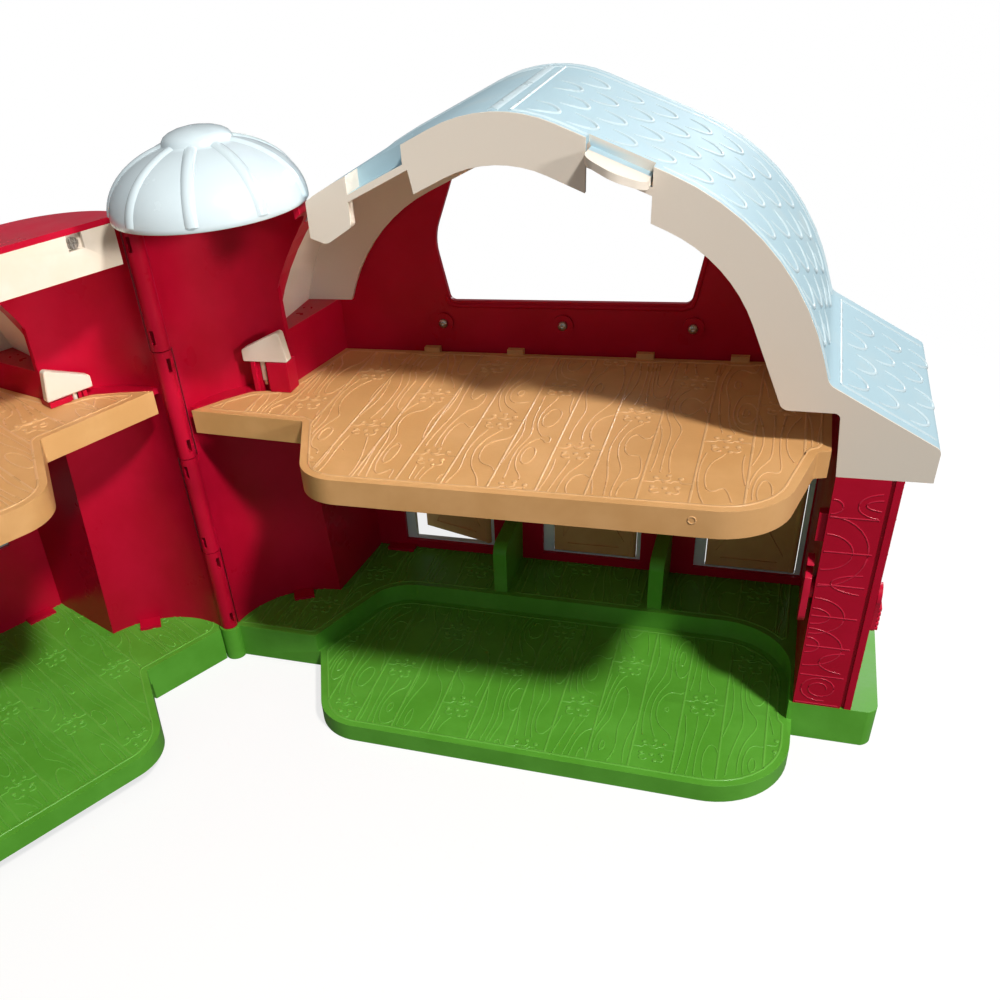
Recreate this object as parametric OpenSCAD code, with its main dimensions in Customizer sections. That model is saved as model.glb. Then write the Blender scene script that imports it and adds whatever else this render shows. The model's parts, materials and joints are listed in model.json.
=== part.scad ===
// Toy barn in two halves that fold shut like a book about a steel pin beside the silo.
// The origin is the foot of the hinge line. +Z runs up the hinge, +X along the mating
// face of the right half, and +Y from that face to the back wall of the right half.
// The left half is the mirror of the right one about the mating face, swung open.

/* [Overall] */
// Length of each half, from the hinge line to the end of its base
half_len = 404; // [340:1:490]
// Depth of each half, from the mating face to the back edge of its base
half_depth = 136; // [125:1:165]
// Angle between the two halves in the open pose
open_angle = 118; // [90:1:150]
// Thickness of the moulded walls
wall = 3; // [2.5:0.1:3.6]
// Set-back of each half from the mating face
mate_gap = 0.5; // [0.3:0.1:1]

/* [Storeys] */
// Thickness of one base slab; the trays of the two halves lie one above the other
slab = 12; // [10:0.5:15]
// Height of the lower storey, from the base to the underside of the right loft
storey_h = 141.8; // [118:0.2:171]
// Thickness of a loft floor
loft_t = 14; // [11:0.5:17]
// Clearance between slabs that pass over each other
nest_gap = 0.6; // [0.4:0.1:1]
// How far trays and lofts reach past the mating face
bulge_d = 64; // [50:1:70]
// Clearance round the trays where they nest
bulge_gap = 1.2; // [1:0.1:2]

/* [Silo] */
// Inside radius of the silo at the base
silo_r_foot = 55; // [50:0.5:57]
// Inside radius of the silo at its top
silo_r_top = 45; // [40:0.5:48]
// Distance from the hinge line to the inside of the silo wall
silo_x = 5; // [4.5:0.1:6]
// Radius of the dome at its rim
dome_r = 50; // [48.5:0.1:51]
// Height of the dome
dome_h = 38.5; // [32:0.5:46]

/* [Roof] */
// Height of the eave above the right loft
eave_h = 31.6; // [26:0.2:38]
// Height of the roof ridge above the eave
roof_rise = 117; // [98:1:125]
// Distance from the mating face to the back edge of the roof
roof_d = 133; // [125:1:162]
// Width of the band round the front opening at the eave
band_w = 18.4; // [15:0.2:22]
// Width of the flange at the back of the roof
back_flange_w = 31; // [26:0.5:36]
// Depth of the catch notches in the front edge of the roof
notch_d = 16.5; // [14:0.5:20]

/* [Hinge] */
// Radius of the steel hinge pin
pin_r = 1.5; // [1.2:0.05:1.8]
// Radial play of each pin in its bore
pin_fit = 0.05; // [0.02:0.01:0.1]
// Radius of the hinge knuckles
knuckle_r = 5.5; // [5:0.1:6]
// Length of a knuckle
knuckle_pitch = 66.5; // [55:0.5:80]
// Running gap round and between knuckles
hinge_gap = 0.6; // [0.4:0.1:1]

/* [Doors] */
// Distance from one stall opening to the next
stall_pitch = 102; // [98:1:108]
// Width of a stall opening in the wall
stall_w = 67; // [55:1:72]
// Height of the door openings
door_h = 86; // [72:1:104]
// Thickness of a door
door_t = 3.4; // [2.8:0.1:4]
// Gap between a door and its frame
door_gap = 0.6; // [0.4:0.1:1]
// Angle that the first stall door stands ajar
door_ajar = 17.5; // [0:0.5:60]
// Width of the barn door opening in the left half
barn_door_w = 104; // [86:1:124]

/* [Latch] */
// Length of the oval latch plate
latch_len = 40; // [36:1:44]
// Width of the oval latch plate
latch_w = 14; // [12:0.5:15]
// Radius of the latch spindle
spindle_r = 3; // [2.5:0.1:3.4]
// Radius of the peg that the latch takes hold of
peg_r = 2.4; // [2:0.1:2.8]

/* [Hidden] */
$fn = 64;
eps = 0.01;
far = 600;
fit = 0.3;

barn_red = [0.70, 0.03, 0.12];
roof_white = [0.90, 0.92, 0.93];
cream = [0.93, 0.88, 0.78];
tan = [0.78, 0.52, 0.28];
grass = [0.20, 0.47, 0.09];
steel = [0.72, 0.72, 0.74];

// Heights
floor_z = 2 * slab + nest_gap;
loft_z = floor_z + storey_h;
loft_top = loft_z + loft_t;
eave_z = loft_top + eave_h;
ridge_z = eave_z + roof_rise;
silo_top = ridge_z - 36.5;
dome_rise = dome_h - 6.5;
dome_shell = 2.6;
dome_ribs = 9;
rib_angle = 9;
rib_start = 4.8;
rib_h = 1.2;
button_r = 18;
cap_t = 3;
cap_gap = 1.5;
cap_z = silo_top - cap_gap - cap_t;
knuckle_top = silo_top - 8.5;
pin_floor = 3;

beam_z = cap_z - 21;
beam_back = mate_gap + wall;
beam_screw_x = silo_x + 28;
beam_screw_z = cap_z - 4.5;

// Plan of one half
lip_x = 54;
silo_cx = silo_x + silo_r_foot;
ring_r = silo_cx + 1;
end_out = half_len - 14;
end_w = 30;
end_in = end_out - end_w;
back_y = half_depth - 16;
gable_y = back_y - 13;
boss_r = 7;
silo_tilt = atan((silo_r_foot - silo_r_top) / (silo_top - floor_z));
silo_r_ground = silo_r_foot + floor_z * tan(silo_tilt);

// Inner faces of the side walls beside the silo, as two points each
side_low = [[silo_cx, silo_r_foot], [silo_cx + 7, back_y]];
side_lean = 0.04;
side_high = [[silo_cx - 5.3, silo_r_foot - 7], [silo_cx + 6, gable_y]];

// Depths of the upper tray and of the recess that it drops into
top_tray_d = bulge_d + 6;
recess_d = top_tray_d + 1.5;

// Trays and recess of the bases, and the floors of the lofts, as x, y and corner radius
tray_pts = [
    [silo_cx + 6, 0], [silo_cx + 34, -bulge_d, 30],
    [end_in + 1, -bulge_d, 44], [end_in + 1, 0]
];
recess_pts = [
    [silo_cx + 4, -1], [end_in - 2, -1], [end_in - 2, recess_d, 42],
    [silo_cx + 33, recess_d, 30], [silo_cx + 4, 1]
];
top_tray_pts = [
    [silo_cx + 6, 0], [silo_cx + 35, -top_tray_d, 30],
    [end_in - 5.5, -top_tray_d, 42], [end_in - 5.5, 0]
];

// Roof outline
arch_l = silo_cx - 18;
arch_r = end_in - 10;
arch_mid = (arch_l + arch_r) / 2;
shoulder_in = 22;
shoulder_z = eave_z + 67;
shoulder_r = 130;
ridge_lift = 6.3;
ridge_r = 73;
eave_r = 8;
inner_shoulder_in = 48;
inner_shoulder_z = shoulder_z - 12.3;
inner_ridge_z = ridge_z - 15.8;
skirt_x = half_len - 2.2;
skirt_z = eave_z - 29;
hall_x = end_in - 3;
hall_z = loft_top + 18;
roof_cut_r = silo_cx + 1.3;
dome_clear_r = dome_r + 2.6;
lobe_z = shoulder_z - 5;

// Catches along the front edge of the roof: the first is a notch on the right half,
// the second one on the left half, and a tongue of the other half drops into each
catch_w = 29;
catch_x = [arch_mid - 71, arch_mid + 42];
catch_lean = 4.5;
tongue_top = 4;
tongue_t = 3;
shelf = tongue_top + tongue_t + nest_gap;
tongue_reach = 15;

// Gable window
window_z = loft_top + 31;
window_x = [arch_mid - 58, arch_mid + 82];
screw_x = [arch_mid - 63, arch_mid + 10.4, arch_mid + 84.4];
screw_boss_r = 6;
screw_boss_h = 1.5;

// Doors and windows
stall_x0 = silo_cx + 28;
frame_t = 3.8;
frame_rim = 6;
frame_y = back_y + wall;
door_axis_y = frame_y + frame_t / 2;
jamb_near = 7;
jamb_far = 3;
sill_z = floor_z + 6;
barrel_r = 2.4;
hinge_in = 2.8;
stub_r = 1.3;
stub_len = 3;
door_top = sill_z + door_h;
barn_x0 = silo_cx + 92;
barn_in = [barn_x0 + 3, barn_x0 + barn_door_w - 3];
pane_w = 44;
pane_h = 40;
pane_z = floor_z + 59;
pane_x = [silo_cx + 26, barn_x0 + barn_door_w + 24];

// Levers
ledge_y = 6;
lever_x = silo_cx - 29;
lever_len = 29;
lever_y = 37;
lever_t = 6;
lever_z = loft_top + 18.1;
guide_top = lever_z - fit;
stem_x = silo_cx - 17.5;
stem_w = 2.8;
slot_w = 8;
stem_len = 12;
stem_gap = 0.4;

// Latch
latch_y = 7.5;
latch_z = floor_z + 73.4;
latch_t = 3.4;
latch_x = end_in - 5.4;
peg_reach = 15;
peg_gap = 0.5;

function unit(v) = v / norm(v);
function xy(p) = [p[0], p[1]];
function radius_of(p) = len(p) > 2 ? p[2] : 0;
function before(p, i) = xy(p[(i + len(p) - 1) % len(p)]);
function after(p, i) = xy(p[(i + 1) % len(p)]);

// Arc that rounds corner b between a and c, no larger than its two sides allow
function corner(a, b, c, r) =
    r <= 0 ? [b] :
    let (
        u = unit(a - b),
        v = unit(c - b),
        half = acos(u * v) / 2,
        reach = min(r / tan(half), 0.9 * norm(a - b), 0.9 * norm(c - b)),
        rr = reach * tan(half),
        centre = b + unit(u + v) * rr / sin(half),
        start = b + u * reach - centre,
        from = atan2(start[1], start[0]),
        sweep = (180 - 2 * half) * sign(cross(b - a, c - b)),
        steps = max(2, ceil(abs(sweep) / 6))
    )
    [for (i = [0:steps]) centre + rr * [cos(from + sweep * i / steps), sin(from + sweep * i / steps)]];

function rounded(p) = [
    for (i = [0:len(p) - 1]) each corner(before(p, i), xy(p[i]), after(p, i), radius_of(p[i]))
];

// Same outline with each side moved inwards by d; the points run anticlockwise
function inset(p, d) = [
    for (i = [0:len(p) - 1])
    let (
        e = unit(xy(p[i]) - before(p, i)),
        f = unit(after(p, i) - xy(p[i])),
        m = [-e[1], e[0]],
        n = [-f[1], f[0]],
        q = xy(p[i]) + (m + n) * d / (1 + m * n),
        r = radius_of(p[i])
    )
    [q[0], q[1], r > 0 ? max(0.1, r - d * sign(cross(e, f))) : 0]
];

function flip_y(p) = [for (i = [len(p) - 1:-1:0]) [p[i][0], -p[i][1], radius_of(p[i])]];

// Underside and top of the loft floor of one half
function under(left) = left ? loft_top + nest_gap : loft_z;
function over(left) = under(left) + loft_t;

// Height of the screws in a gable
function screw_z(left) = left ? over(left) + 8.6 : over(left) + 17.6;

// Heights at which the knuckles of the right (0) or left (1) half stand
function knuckles(side) = [
    for (i = [0:ceil((knuckle_top - floor_z) / knuckle_pitch) - 1])
    if (i % 2 == side)
    [
        max(floor_z + hinge_gap / 2, knuckle_top - (i + 1) * knuckle_pitch + hinge_gap),
        knuckle_top - i * knuckle_pitch
    ]
];

// Point on the line through two points at a given y
function x_at(line, y) =
    line[0][0] + (line[1][0] - line[0][0]) * (y - line[0][1]) / (line[1][1] - line[0][1]);

module outline(p) polygon(rounded(p));

module slab_x(x0, x1) translate([x0, 0, 0]) rotate([90, 0, 90]) linear_extrude(x1 - x0) children();
module slab_y(y0, y1) translate([0, y1, 0]) rotate([90, 0, 0]) linear_extrude(y1 - y0) children();
module slab_z(z0, z1) translate([0, 0, z0]) linear_extrude(z1 - z0) children();

module box(x0, x1, y0, y1, z0, z1) translate([x0, y0, z0]) cube([x1 - x0, y1 - y0, z1 - z0]);

module rod_x(r, x0, x1, y, z) translate([x0, y, z]) rotate([0, 90, 0]) cylinder(h = x1 - x0, r = r);
module rod_y(r, x, y0, y1, z) translate([x, y1, z]) rotate([90, 0, 0]) cylinder(h = y1 - y0, r = r);
module rod_z(r, x, y, z0, z1) translate([x, y, z0]) cylinder(h = z1 - z0, r = r);

// Puts a piece drawn as for the right half onto the opened left half
module on_left() rotate([0, 0, -open_angle]) mirror([0, 1, 0]) children();

// Strip of wall along one of the side lines, w thick on its outer side
module side_strip(line, y0, y1, w) polygon([
    [x_at(line, y0), y0], [x_at(line, y1), y1],
    [x_at(line, y1) - w, y1], [x_at(line, y0) - w, y0]
]);

// Everything on the barn's side of a side line
module side_room(line) polygon([
    [x_at(line, -50), -50], [far, -50], [far, far], [x_at(line, far), far]
]);

// Leaning cone of the silo, grown by d; its side next to the hinge is upright
module silo_cone(d) {
    run = silo_top + 30;
    translate([silo_x, 0, 0]) rotate([0, -silo_tilt, 0]) translate([silo_r_ground, 0, 0])
        cylinder(h = run, r1 = silo_r_ground + d, r2 = silo_r_ground + d - run * tan(silo_tilt), $fn = 120);
}

// Leans the lower side wall towards the hinge, as the silo tapers
module lean() multmatrix([
    [1, 0, -side_lean, side_lean * floor_z], [0, 1, 0, 0], [0, 0, 1, 0], [0, 0, 0, 1]
]) children();

// Room inside the barn walls, which the silo wall stops at
module hall(left) {
    lean() slab_z(0, under(left)) side_room(side_low);
    intersection() {
        slab_z(under(left) - eps, far) side_room(side_high);
        slab_y(-1, far) arch_face(wall);
    }
}

// Face of the roof arch and its skirt, moved inwards by d and open at the bottom
module arch_face(d) {
    slope = shoulder_in / (shoulder_z - eave_z);
    outline(inset([
        [skirt_x, 0], [skirt_x, skirt_z, 4], [arch_r, eave_z, eave_r],
        [arch_r - shoulder_in, shoulder_z, shoulder_r], [arch_mid, ridge_z + ridge_lift, ridge_r],
        [arch_l + shoulder_in, shoulder_z, shoulder_r], [arch_l - slope * eave_z, 0]
    ], d));
}

// Front opening of the hall, inside the band of the roof
module hall_face() outline([
    [hall_x + 3, 0], [hall_x + 3, loft_z], [hall_x, hall_z, 3], [arch_r - band_w, hall_z + 0.4, 5],
    [arch_r - inner_shoulder_in, inner_shoulder_z, 80], [arch_mid + 1.5, inner_ridge_z, 60],
    [arch_l + inner_shoulder_in, inner_shoulder_z, 80], [arch_l + band_w, hall_z, 5],
    [arch_l + band_w, 0]
]);

module between_x(x0, x1) translate([x0, 0]) square([x1 - x0, far]);

// Gap in the band below a catch; its far side leans by the given amount
module band_gap(x, lean) intersection() {
    arch_face(shelf + wall);
    polygon([
        [x, eave_z], [x, far], [x + catch_w, far], [x + catch_w, ridge_z - 11],
        [x + catch_w + lean, ridge_z - 33], [x + catch_w + lean, eave_z]
    ]);
}

// One roof half; notch and tongue are the left edges of its two catches
module roof(left, notch, tongue) {
    lobe_r = catch_x[0];
    difference() {
        union() {
            slab_y(mate_gap, roof_d) intersection() {
                difference() {
                    arch_face(0);
                    arch_face(wall);
                }
                union() {
                    translate([0, eave_z]) square([arch_mid, far]);
                    translate([arch_mid, loft_z]) square([far, far]);
                }
            }
            // Band round the front opening
            slab_y(mate_gap, mate_gap + wall) intersection() {
                difference() {
                    arch_face(0);
                    hall_face();
                    band_gap(catch_x[0], catch_lean);
                    band_gap(catch_x[1], 0);
                }
                union() {
                    translate([lobe_r, lobe_z + 8]) square([arch_mid, far]);
                    translate([arch_mid, loft_z]) square([far, far]);
                }
            }
            // Lobe beside the dome
            slab_y(mate_gap, mate_gap + 2 * wall) intersection() {
                arch_face(0);
                outline([
                    [lobe_r, lobe_z + 8, 2], [lobe_r, far], [lobe_r - 30, far],
                    [lobe_r - 30, lobe_z + 6], [lobe_r - 14, lobe_z, 5]
                ]);
            }
            // Flange that is fastened to the gable
            slab_y(gable_y - wall, gable_y) intersection() {
                difference() {
                    arch_face(wall - eps);
                    arch_face(back_flange_w);
                }
                union() {
                    translate([0, eave_z]) square([arch_mid, far]);
                    translate([arch_mid, over(left) + fit]) square([far, far]);
                }
            }
            catch_box(notch, mate_gap);
            catch_box(tongue, notch_d / 2);
        }
        catch_cut(notch, notch_d);
        catch_cut(tongue, notch_d / 2);
        rod_z(roof_cut_r, silo_cx, 0, 0, lobe_z);
        rod_z(dome_clear_r, silo_x + silo_r_top, 0, lobe_z - eps, far);
    }
    catch_tongue(tongue);
}

// Shelf, cheeks and back of one catch, whose shelf starts at the given depth
module catch_box(x, front) slab_y(front, notch_d + wall) intersection() {
    difference() {
        arch_face(eps);
        arch_face(shelf + wall);
    }
    translate([x - wall, eave_z]) square([catch_w + 2 * wall, far]);
}

module catch_cut(x, depth) slab_y(-1, depth) intersection() {
    difference() {
        arch_face(-2);
        arch_face(shelf);
    }
    between_x(x, x + catch_w);
}

module catch_tongue(x) intersection() {
    slab_y(-tongue_reach - 1, notch_d) intersection() {
        difference() {
            arch_face(tongue_top);
            arch_face(tongue_top + tongue_t);
        }
        between_x(x, x + catch_w);
    }
    slab_z(eave_z, far) outline([
        [x + 1, notch_d / 2 + 1], [x + 1, -tongue_reach + 4, 8], [x + catch_w / 2, -tongue_reach - 2, 10],
        [x + catch_w - 1, -tongue_reach + 4, 8], [x + catch_w - 1, notch_d / 2 + 1]
    ]);
}

module roof_right() color(roof_white) roof(false, catch_x[0], catch_x[1]);
module roof_left() color(roof_white) on_left() roof(true, catch_x[1], catch_x[0]);

// Plan of the base of one half, without its tray
module base_plan() intersection() {
    union() {
        translate([silo_cx, 0]) circle(ring_r);
        outline([
            [lip_x, 0], [half_len, 0, 8], [half_len, half_depth, 8],
            [lip_x + 4, half_depth, 6], [lip_x, silo_r_foot]
        ]);
    }
    translate([-50, mate_gap]) square([far, far]);
}

// Row of pockets under a floor between two depths
module pockets(y0, y1) {
    count = 4;
    rib = 6;
    first = silo_cx + 12;
    pitch = (end_in - first) / count;
    for (i = [0:count - 1]) translate([first + i * pitch + rib, y0]) square([pitch - rib, y1 - y0]);
}

module stall_divider(i) {
    x = stall_x0 + stall_w + 11.5 + i * stall_pitch;
    thick = 9;
    slab_x(x, x + thick) outline([
        [half_depth - 61, floor_z - 1], [back_y, floor_z - 1], [back_y, floor_z + 36],
        [half_depth - 61, floor_z + 36, 8]
    ]);
}

module base_right() color(grass) {
    difference() {
        union() {
            slab_z(0, floor_z) base_plan();
            slab_z(0, slab) outline(concat(tray_pts, [[end_in + 1, 2], [silo_cx + 6, 2]]));
            rod_z(boss_r, 0, 0, 0, floor_z);
            for (i = [0, 1]) stall_divider(i);
        }
        slab_z(slab, far) intersection() {
            outline(recess_pts);
            translate([0, -1]) square([far, far]);
        }
        slab_z(-1, slab - wall) intersection() {
            pockets(-bulge_d, -2);
            outline(inset(tray_pts, 4));
        }
        slab_z(-1, slab - wall) intersection() {
            pockets(4, recess_d - 4);
            outline(inset(recess_pts, 4));
        }
        slab_z(-1, floor_z - wall) pockets(recess_d + wall, half_depth - 5);
        slab_z(-1, floor_z - wall) intersection() {
            translate([silo_cx, 0]) circle(ring_r - 6);
            translate([20, 8]) square([silo_cx - 24, silo_r_foot]);
        }
        rod_z(pin_r + pin_fit, 0, 0, pin_floor, far);
    }
}

module base_left() color(grass) on_left() {
    difference() {
        union() {
            slab_z(0, floor_z) base_plan();
            slab_z(slab + nest_gap, floor_z)
                outline(concat(top_tray_pts, [[end_in - 5.5, 2], [silo_cx + 6, 2]]));
        }
        slab_z(-1, slab + nest_gap) intersection() {
            outline(inset(flip_y(tray_pts), -bulge_gap));
            translate([0, -2]) square([far, far]);
        }
        slab_z(-1, floor_z - wall) intersection() {
            pockets(-bulge_d, -2);
            outline(inset(top_tray_pts, 4));
        }
        slab_z(-1, floor_z - wall) intersection() {
            pockets(4, bulge_d - 4);
            outline(inset(recess_pts, 4));
        }
        slab_z(-1, floor_z - wall) pockets(recess_d + wall, half_depth - 5);
        rod_z(boss_r + hinge_gap, 0, 0, -1, far);
    }
}

// Lower storey wall with its return beside the silo, up to the loft
module lower_wall(left) {
    top = under(left);
    difference() {
        union() {
            intersection() {
                box(0, end_in, back_y, back_y + wall, floor_z, top);
                lean() slab_z(0, far) side_room([for (p = side_low) p - [wall / 2, 0]]);
            }
            lean() slab_z(floor_z, top) side_strip(side_low, 0, back_y + wall, wall);
            // Foot tab on the base
            box(silo_cx + 15, silo_cx + 35, back_y - 8, back_y + eps, floor_z, floor_z + 2);
            // Cleats that carry the loft floor
            for (x = [silo_cx + 16, (silo_cx + end_in) / 2, end_in - 22])
                box(x, x + 6, back_y - 20, back_y + eps, top - 10, top);
        }
        silo_cone(wall);
        box(-far, far, -far, mate_gap, -1, far);
        translate([-far, 0, 0]) box(0, far, -1, silo_r_foot - 10, -1, far);
        children();
    }
}

function stall_x(i) = stall_x0 + i * stall_pitch;

module back_wall_right() color(barn_red) lower_wall(false) {
    for (i = [0:2]) box(stall_x(i), stall_x(i) + stall_w, 0, far, sill_z, door_top);
}

module front_wall_left() color(barn_red) on_left() lower_wall(true) {
    box(barn_x0, barn_x0 + barn_door_w, 0, far, sill_z, door_top);
    for (x = pane_x) box(x, x + pane_w, 0, far, pane_z, pane_z + pane_h);
}

// Upper storey wall: gable with its window, side wall and the shelf under the eave
module gable(left) {
    base = under(left);
    difference() {
        union() {
            slab_y(gable_y, gable_y + wall) intersection() {
                arch_face(wall + fit);
                translate([x_at(side_high, gable_y) - 1, base]) square([far, shoulder_z - base]);
            }
            box(x_at(side_high, gable_y) - 1, end_out, gable_y, back_y + wall, base, base + wall);
            slab_z(base, eave_z) difference() {
                side_strip(side_high, 0, gable_y + wall, wall);
                translate([-far, -far]) square([2 * far, far + 20]);
            }
            slab_z(eave_z - wall, eave_z) translate([-wall / 2, 0]) polygon([
                [arch_l + wall / 2, silo_r_foot - 12], [x_at(side_high, silo_r_foot - 12), silo_r_foot - 12],
                [x_at(side_high, gable_y + 2), gable_y + 2], [arch_l + wall / 2, gable_y + 2]
            ]);
            for (x = screw_x) rod_y(screw_boss_r, x, gable_y - screw_boss_h, gable_y + 1, screw_z(left));
        }
        slab_y(0, far) outline([
            [window_x[0], window_z, 4], [window_x[1], window_z, 4], [window_x[1] + 7, window_z + 36, 30],
            [window_x[1] - 5, shoulder_z + 1], [window_x[0] + 5, shoulder_z + 1],
            [window_x[0] - 8, window_z + 36, 30]
        ]);
        for (x = screw_x) rod_y(pin_r + pin_fit, x, 0, far, screw_z(left));
        silo_cone(wall);
    }
}

module gable_right() color(barn_red) gable(false);
module gable_left() color(barn_red) on_left() gable(true);

module gable_screws(z) for (x = screw_x) {
    head_h = 2.2;
    seat = gable_y - screw_boss_h;
    difference() {
        union() {
            rod_y(3.6, x, seat - head_h, seat, z);
            rod_y(pin_r, x, seat - eps, gable_y + wall + 4, z);
        }
        for (turn = [0, 90]) translate([x, seat - head_h, z]) rotate([0, turn, 0])
            cube([3.6, 2, 0.8], center = true);
    }
}

module gable_screws_right() color(steel) gable_screws(screw_z(false));
module gable_screws_left() color(steel) on_left() gable_screws(screw_z(true));

// Hollow end wall, open at the bottom
module end_wall() difference() {
    box(end_in, end_out, mate_gap, back_y + wall, floor_z, loft_z);
    box(end_in + wall, end_out - wall, mate_gap + wall, back_y, floor_z - 1, loft_z - wall);
    // Upright groove between the front face and the outer rib
    box(end_out - 5.5, end_out - 3.5, 0, mate_gap + 1.5, floor_z - 1, loft_z + 1);
}

module end_wall_right() color(barn_red) difference() {
    union() {
        end_wall();
        // Stop lug above the latch
        box(end_in - 4, end_in + eps, 3, 9, latch_z + 31, latch_z + 47);
    }
    rod_x(spindle_r + pin_fit, end_in - 1, end_out + 1, latch_y, latch_z);
}

module end_wall_left() color(barn_red) on_left() {
    end_wall();
    rod_x(peg_r, latch_x + 0.3, end_in + eps, peg_reach - latch_y, latch_z);
}

// Turn latch: oval plate with a curved slot, spindle through the wall, grip outside
module closing_latch() color([0.85, 0.05, 0.13]) {
    half = (latch_len - latch_w) / 2;
    grip_x = end_out + fit;
    difference() {
        slab_x(latch_x, latch_x + latch_t) {
            translate([latch_y - latch_w / 2, latch_z - half]) square([latch_w, 2 * half]);
            for (s = [-1, 1]) translate([latch_y, latch_z + s * half]) circle(latch_w / 2);
        }
        translate([latch_x - 1, latch_y, latch_z]) rotate([90, 0, 90])
            rotate([0, 0, 76]) rotate_extrude(angle = 100)
            translate([peg_reach - peg_r - peg_gap, 0]) square([2 * (peg_r + peg_gap), latch_t + 2]);
    }
    rod_x(spindle_r + 2.5, latch_x + latch_t - eps, end_in - fit, latch_y, latch_z);
    rod_x(spindle_r, latch_x + latch_t, grip_x + 1, latch_y, latch_z);
    rod_x(6.5, grip_x, grip_x + 2, latch_y, latch_z);
    slab_x(grip_x, grip_x + 2) outline([
        [latch_y - 5, latch_z - 21, 3], [latch_y + 5, latch_z - 21, 3],
        [latch_y + 6, latch_z], [latch_y - 6, latch_z]
    ]);
    for (i = [0:4]) box(
        grip_x + 2 - eps, grip_x + 3.4, latch_y - 5, latch_y + 5,
        latch_z - 19 + 3 * i, latch_z - 17.4 + 3 * i
    );
}

// Silo wall with knuckles, floor ledge, lever guide and the rib under the roof edge
module silo_wall(left) {
    top = left ? cap_z : silo_top;
    mine = knuckles(left ? 1 : 0);
    theirs = knuckles(left ? 0 : 1);
    difference() {
        union() {
            difference() {
                intersection() {
                    silo_cone(wall);
                    box(-20, far, mate_gap, far, floor_z, top);
                }
                silo_cone(0);
                hall(left);
            }
            for (k = mine) rod_z(knuckle_r, 0, 0, k[0], k[1]);
            // Rib that carries the edge of the roof
            difference() {
                intersection() {
                    slab_y(mate_gap, far) difference() {
                        arch_face(0);
                        arch_face(wall);
                    }
                    rod_z(roof_cut_r - fit, silo_cx, 0, eave_z, lobe_z - fit);
                    box(-20, arch_mid, 20, far, eave_z, far);
                }
                silo_cone(wall / 2);
            }
            // Ledge level with the loft floor
            intersection() {
                silo_cone(wall / 2);
                slab_z(over(left) - wall, over(left)) difference() {
                    translate([0, ledge_y]) square([x_at(side_high, silo_r_foot - 8), silo_r_foot]);
                    outline(inset(loft_pts(left), -fit));
                }
            }
            lever_guide(left);
            // Foot tab on the base
            translate([silo_cx, 0, floor_z]) rotate(118)
                translate([silo_r_foot - 11, -7, 0]) cube([12, 14, 2]);
        }
        for (k = theirs) rod_z(knuckle_r + hinge_gap, 0, 0, k[0] - hinge_gap, k[1] + hinge_gap);
        rod_z(pin_r + pin_fit, 0, 0, -1, far);
        // Slots at the ends of the knuckles, where the pin shows
        for (k = mine) for (z = [k[0] + 4, k[1] - 12]) box(-1.2, 1.2, -far, 0, z, z + 8);
        // Groove for the lever stem, and the wider slot in front of it
        box(
            stem_x - stem_w / 2 - stem_gap, stem_x + stem_w / 2 + stem_gap,
            lever_y - stem_w / 2 - stem_gap, lever_y + stem_w / 2 + stem_gap,
            lever_z - stem_len - 12, lever_z + 1
        );
        box(
            stem_x - slot_w / 2, stem_x + slot_w / 2, lever_y - 10, lever_y - stem_w / 2,
            over(left) - wall - 1, lever_z + 1
        );
    }
}

module lever_guide(left) difference() {
    intersection() {
        box(stem_x - slot_w / 2 - 2.4, stem_x + 17, lever_y - 4, lever_y + 8, over(left) - wall, guide_top);
        silo_cone(wall / 2);
    }
    slab_z(0, over(left) + fit) outline(inset(loft_pts(left), -fit));
}

module silo_wall_right() color(barn_red) silo_wall(false);
module silo_wall_left() color(barn_red) on_left() silo_wall(true);

// Front edge of a loft floor from the neck beside the silo round the bulge to the end wall
function loft_front(left) =
    let (edge_x = left ? end_in - 6.5 : end_in - 4)
    [
        [silo_cx + 23, left ? 0 : -3, 2], [silo_cx + 49, -bulge_d - 2, 26],
        [edge_x - 20, -bulge_d - 2, 34], [edge_x - 6, -3, 2], [edge_x, -1]
    ];

// Outline of a loft floor
function loft_pts(left) =
    let (edge_x = left ? end_in - 6.5 : end_in - 4)
    concat([[silo_x + 4, left ? 5 : 2]], loft_front(left), [
        [edge_x, gable_y - 2],
        [x_at(side_high, gable_y - 2) + fit, gable_y - 2],
        [x_at(side_high, silo_r_foot - 8) + fit, silo_r_foot - 8],
        [silo_cx - 12, silo_r_foot - 8], [silo_cx - 12, 35.5], [silo_cx - 26, 32.5, 10],
        [silo_cx - 38, 20, 16]
    ]);

module loft_floor(left) {
    z0 = under(left);
    lip = 4;
    tab_w = 10;
    tab_h = 3;
    difference() {
        union() {
            slab_z(z0, z0 + loft_t) outline(loft_pts(left));
            for (x = [arch_mid - 71, arch_mid - 18, arch_mid + 59, arch_mid + 111.5])
                box(
                    x - tab_w / 2, x + tab_w / 2, gable_y - 4, gable_y,
                    z0 + loft_t - wall, z0 + loft_t + tab_h
                );
        }
        slab_z(z0 - 1, z0 + loft_t - wall) intersection() {
            pockets(-bulge_d, gable_y - 22);
            outline(inset(
                concat([[silo_cx + 23, gable_y]], loft_front(left), [[end_in - 6.5, gable_y]]), lip
            ));
        }
    }
}

module loft_floor_right() color(tan) loft_floor(false);
module loft_floor_left() color(tan) on_left() loft_floor(true);

// Arc of the dome's profile grown by d, from one angle to another
function dome_arc(d, a0, a1, steps) = [
    for (i = [0:steps])
    let (a = a0 + (a1 - a0) * i / steps)
    [(dome_r + d) * cos(a), silo_top + (dome_rise + d) * sin(a)]
];

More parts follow.
